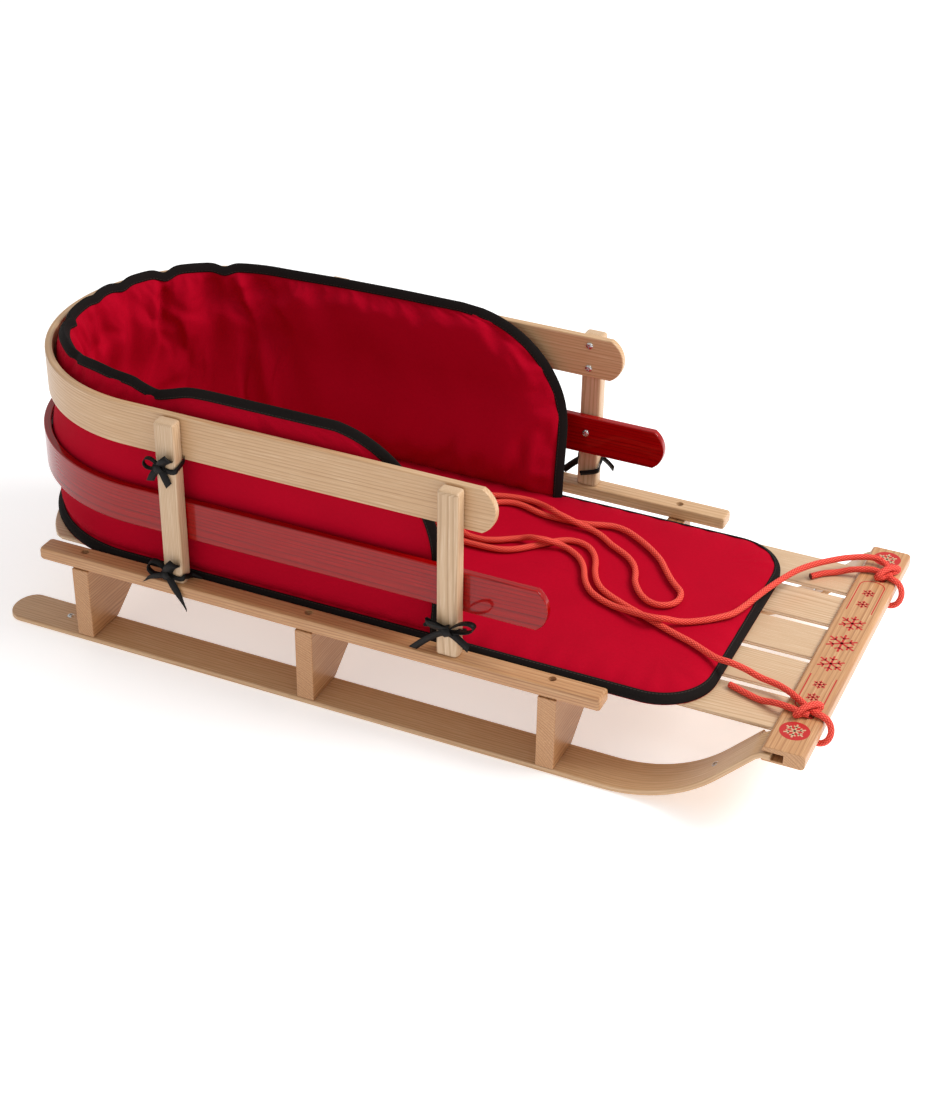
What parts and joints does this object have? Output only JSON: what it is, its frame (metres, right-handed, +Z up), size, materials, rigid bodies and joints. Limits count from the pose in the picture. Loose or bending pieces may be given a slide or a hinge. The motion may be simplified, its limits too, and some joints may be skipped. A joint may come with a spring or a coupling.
{
  "type": "wooden pull sled",
  "caption": "Child's wooden pull sled on flat bent runners, with a slatted deck, a seat of bent rails on posts, a padded seat cushion and a pull cord tied to the front bar.",
  "frame": {"origin": "on the ground, under the middle of the sled's bounding box without its cord", "axes": "+X along the sled towards the front bar, +Y to the sled's left, +Z up"},
  "size_m": [0.8645, 0.364, 0.286],
  "materials": {
    "ash": "clear satin lacquer on ash",
    "red_lacquer": "glossy transparent red lacquer",
    "steel": "bright zinc-plated screws",
    "red_cloth": "woven crimson cloth",
    "black_ribbon": "woven black ribbon and binding",
    "cord": "braided coral-red cord"
  },
  "bodies": {
    "root": {"brace_front": "ash", "brace_middle": "ash", "brace_rear": "ash", "cord_knot_far": "cord", "cord_knot_near": "cord", "cord_loop_far": "cord", "cord_loop_near": "cord", "cord_tail_far": "cord", "cord_tail_near": "cord", "cushion_base": "red_cloth", "cushion_wall": "red_cloth", "deck_rail_far": "ash", "deck_rail_near": "ash", "deck_screw_far_front": "steel", "deck_screw_far_middle": "steel", "deck_screw_far_rear": "steel", "deck_screw_near_front": "steel", "deck_screw_near_middle": "steel", "deck_screw_near_rear": "steel", "deck_slat_1": "ash", "deck_slat_2": "ash", "deck_slat_3": "ash", "deck_slat_4": "ash", "deck_slat_5": "ash", "front_bar": "ash", "lower_bent_rail": "red_lacquer", "lower_bent_rail_screw_front_far_1": "steel", "lower_bent_rail_screw_front_near_1": "steel", "lower_bent_rail_screw_rear_far_1": "steel", "lower_bent_rail_screw_rear_near_1": "steel", "post_front_far": "ash", "post_front_near": "ash", "post_rear_far": "ash", "post_rear_near": "ash", "pull_cord": "cord", "ribbon_tie_front_far": "black_ribbon", "ribbon_tie_front_near": "black_ribbon", "ribbon_tie_rear_lower_far": "black_ribbon", "ribbon_tie_rear_lower_near": "black_ribbon", "ribbon_tie_rear_upper_far": "black_ribbon", "ribbon_tie_rear_upper_near": "black_ribbon", "runner_far": "ash", "runner_near": "ash", "runner_screw_far_front": "steel", "runner_screw_far_rear": "steel", "runner_screw_near_front": "steel", "runner_screw_near_rear": "steel", "upper_bent_rail": "ash", "upper_bent_rail_screw_front_far_1": "steel", "upper_bent_rail_screw_front_far_2": "steel", "upper_bent_rail_screw_front_near_1": "steel", "upper_bent_rail_screw_front_near_2": "steel", "upper_bent_rail_screw_rear_far_1": "steel", "upper_bent_rail_screw_rear_far_2": "steel", "upper_bent_rail_screw_rear_near_1": "steel", "upper_bent_rail_screw_rear_near_2": "steel"}
  },
  "joints": []
}
